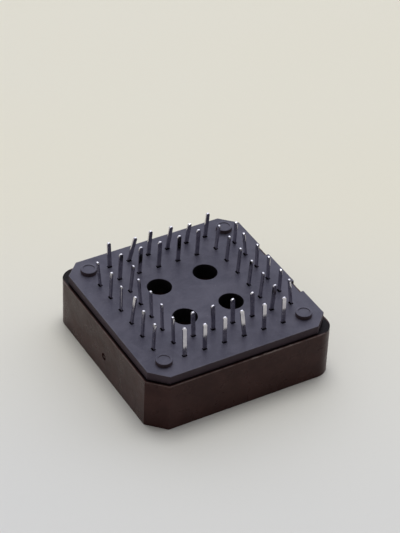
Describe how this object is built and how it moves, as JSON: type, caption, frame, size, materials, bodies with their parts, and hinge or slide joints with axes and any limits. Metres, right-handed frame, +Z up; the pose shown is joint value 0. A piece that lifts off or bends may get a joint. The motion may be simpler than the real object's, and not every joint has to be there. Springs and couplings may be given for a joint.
{
  "type": "ic socket",
  "caption": "Square through-hole socket for a J-leaded chip carrier: a dark moulded housing and base plate with two rings of bent strip tails, lying tails up.",
  "frame": {"origin": "centre of the housing's mouth face, on the plane that the socket rests on when it lies with its solder tails up", "axes": "+Z up out of the back of the socket, along the solder tails; +X and +Y along the sides of the square; the housing's cut orientation corner points to -X -Y"},
  "size_m": [0.0234, 0.0234, 0.0107],
  "materials": {
    "housing": "moulded, dark brown-black, satin",
    "base_plate": "moulded, dark slate, satin, scuffed",
    "contacts": "tin-plated copper alloy strip, dull, bright where cut"
  },
  "bodies": {
    "root": {"housing": "housing", "base_plate": "base_plate", "contact_01": "contacts", "contact_02": "contacts", "contact_03": "contacts", "contact_04": "contacts", "contact_05": "contacts", "contact_06": "contacts", "contact_07": "contacts", "contact_08": "contacts", "contact_09": "contacts", "contact_10": "contacts", "contact_11": "contacts", "contact_12": "contacts", "contact_13": "contacts", "contact_14": "contacts", "contact_15": "contacts", "contact_16": "contacts", "contact_17": "contacts", "contact_18": "contacts", "contact_19": "contacts", "contact_20": "contacts", "contact_21": "contacts", "contact_22": "contacts", "contact_23": "contacts", "contact_24": "contacts", "contact_25": "contacts", "contact_26": "contacts", "contact_27": "contacts", "contact_28": "contacts", "contact_29": "contacts", "contact_30": "contacts", "contact_31": "contacts", "contact_32": "contacts", "contact_33": "contacts", "contact_34": "contacts", "contact_35": "contacts", "contact_36": "contacts", "contact_37": "contacts", "contact_38": "contacts", "contact_39": "contacts", "contact_40": "contacts", "contact_41": "contacts", "contact_42": "contacts", "contact_43": "contacts", "contact_44": "contacts"}
  },
  "joints": []
}
